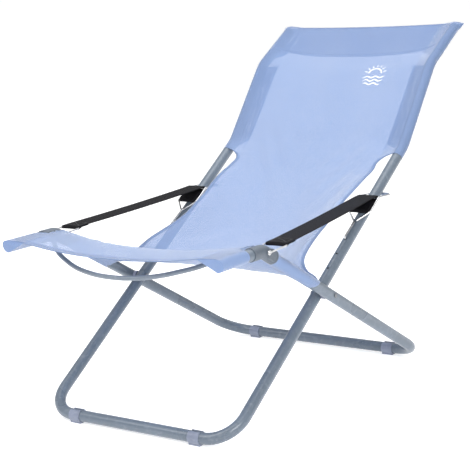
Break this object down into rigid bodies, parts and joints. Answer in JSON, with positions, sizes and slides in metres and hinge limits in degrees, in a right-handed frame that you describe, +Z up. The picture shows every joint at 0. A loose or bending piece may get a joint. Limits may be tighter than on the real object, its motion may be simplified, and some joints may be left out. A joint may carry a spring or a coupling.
{
  "type": "folding beach chair",
  "caption": "Low folding beach chair: two crossed U-shaped tube frames, translucent mesh sling seat and back, webbing armrests on wire bails, foot clips on the bars.",
  "frame": {"origin": "On the floor, at the centre of the chair's outline in plan, chair open and upright.", "axes": "+Z up, the sitter faces -Y, +X is the sitter's left; the chair mirrors across the YZ plane."},
  "size_m": [0.6146, 1.091, 0.7819],
  "materials": {
    "tube_paint": "gloss grey-blue enamel",
    "clip_plastic": "satin lavender-grey moulded plastic",
    "plug_plastic": "satin moulded plastic",
    "rivet_steel": "zinc plated",
    "spacer_plastic": "satin moulded plastic",
    "knuckle_plastic": "satin grey moulded plastic",
    "wire_steel": "bright zinc plated wire",
    "sleeve_plastic": "satin blue-grey moulded plastic",
    "webbing": "black woven webbing",
    "sling_mesh": "translucent light blue coated mesh"
  },
  "bodies": {
    "back_frame": {"back_frame_tube": "tube_paint", "sling_back": "sling_mesh", "front_foot_clip_left": "clip_plastic", "back_end_plug_left": "plug_plastic", "front_foot_clip_right": "clip_plastic", "back_end_plug_right": "plug_plastic"},
    "pivots": {"sling_middle": "sling_mesh", "pivot_rivet_left": "rivet_steel", "pivot_spacer_left": "spacer_plastic", "pivot_rivet_right": "rivet_steel", "pivot_spacer_right": "spacer_plastic"},
    "seat_frame": {"seat_frame_tube": "tube_paint", "seat_bow": "tube_paint", "sling_seat": "sling_mesh", "rear_foot_clip_left": "clip_plastic", "seat_end_plug_left": "plug_plastic", "knuckle_left": "knuckle_plastic", "sling_pocket_left": "sling_mesh", "rear_foot_clip_right": "clip_plastic", "seat_end_plug_right": "plug_plastic", "knuckle_right": "knuckle_plastic", "sling_pocket_right": "sling_mesh"},
    "bail_left": {"bail_wire_left": "wire_steel", "bail_bars_left": "wire_steel", "bail_sleeve_left": "sleeve_plastic", "strap_end_left": "webbing", "armrest_strap_left": "webbing"},
    "bail_right": {"bail_wire_right": "wire_steel", "bail_bars_right": "wire_steel", "bail_sleeve_right": "sleeve_plastic", "strap_end_right": "webbing", "armrest_strap_right": "webbing"},
    "stirrup_left": {"strap_stirrup_left": "wire_steel"},
    "stirrup_right": {"strap_stirrup_right": "wire_steel"}
  },
  "joints": [
    {"name": "recline", "type": "hinge", "parent": "back_frame", "child": "pivots", "pos_m": [0, -0.15036, 0.2436], "axis": [1, 0, 0], "range_deg": [0, 17], "deforming": ["sling_middle"]},
    {"name": "fold", "type": "hinge", "parent": "pivots", "child": "seat_frame", "pos_m": [0, -0.15036, 0.2436], "axis": [1, 0, 0], "range_deg": [-106, 0], "deforming": ["sling_middle"]},
    {"name": "bail_slide_left", "type": "slide", "parent": "back_frame", "child": "bail_left", "axis": [0, -0.8363, -0.5483], "range_m": [0, 0.0462], "deforming": ["armrest_strap_left"]},
    {"name": "stirrup_swing_left", "type": "hinge", "parent": "seat_frame", "child": "stirrup_left", "pos_m": [0.279, -0.39843, 0.38791], "axis": [1, 0, 0], "range_deg": [0, 152]},
    {"name": "bail_slide_right", "type": "slide", "parent": "back_frame", "child": "bail_right", "axis": [0, -0.8363, -0.5483], "range_m": [0, 0.0462], "deforming": ["armrest_strap_right"]},
    {"name": "stirrup_swing_right", "type": "hinge", "parent": "seat_frame", "child": "stirrup_right", "pos_m": [-0.279, -0.39843, 0.38791], "axis": [1, 0, 0], "range_deg": [0, 152]}
  ],
  "couplings": [
    {"joint": "bail_slide_left", "follows": "recline", "m_per_rad": 0.155},
    {"joint": "stirrup_swing_left", "follows": "fold", "ratio": -1.41},
    {"joint": "bail_slide_right", "follows": "recline", "m_per_rad": 0.155},
    {"joint": "stirrup_swing_right", "follows": "fold", "ratio": -1.41}
  ]
}
